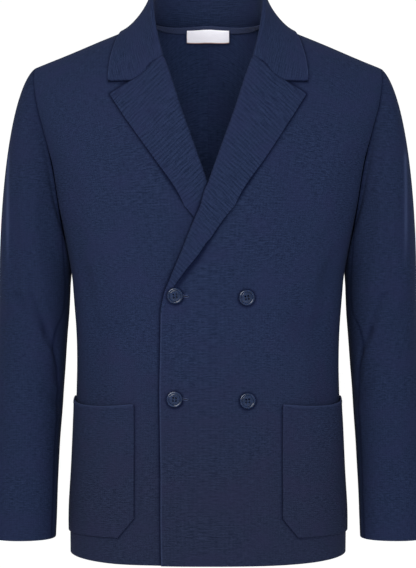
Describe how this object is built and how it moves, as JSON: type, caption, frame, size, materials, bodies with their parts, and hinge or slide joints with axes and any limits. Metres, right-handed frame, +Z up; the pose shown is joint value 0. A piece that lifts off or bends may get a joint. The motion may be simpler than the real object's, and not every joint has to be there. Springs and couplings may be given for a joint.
{
  "type": "double-breasted knit blazer",
  "caption": "Hip-length double-breasted knit jacket, worn and hollow, with notched lapels, turned-down collar, patch pockets with a cut corner and long sleeves.",
  "frame": {"origin": "middle of the neck base, where the wearer's neck and shoulders hold the jacket up", "axes": "+Z up, front faces -Y, +X towards the wearer's left"},
  "size_m": [0.5706, 0.245, 0.754],
  "materials": {
    "navy_knit": "matt fine knit",
    "navy_button": "gloss",
    "navy_tape": "matt twill",
    "pale_label": "matt woven, bare"
  },
  "bodies": {
    "root": {"front_left": "navy_knit", "front_right": "navy_knit", "back_left": "navy_knit", "back_right": "navy_knit", "sleeve_upper_left": "navy_knit", "sleeve_upper_right": "navy_knit", "sleeve_under_left": "navy_knit", "sleeve_under_right": "navy_knit", "lapel_left": "navy_knit", "lapel_right": "navy_knit", "collar": "navy_knit", "pocket_left": "navy_knit", "pocket_right": "navy_knit", "button_top_edge": "navy_button", "button_top_inner": "navy_button", "button_low_edge": "navy_button", "button_low_inner": "navy_button", "neck_tape": "navy_tape", "neck_label": "pale_label"}
  },
  "joints": []
}
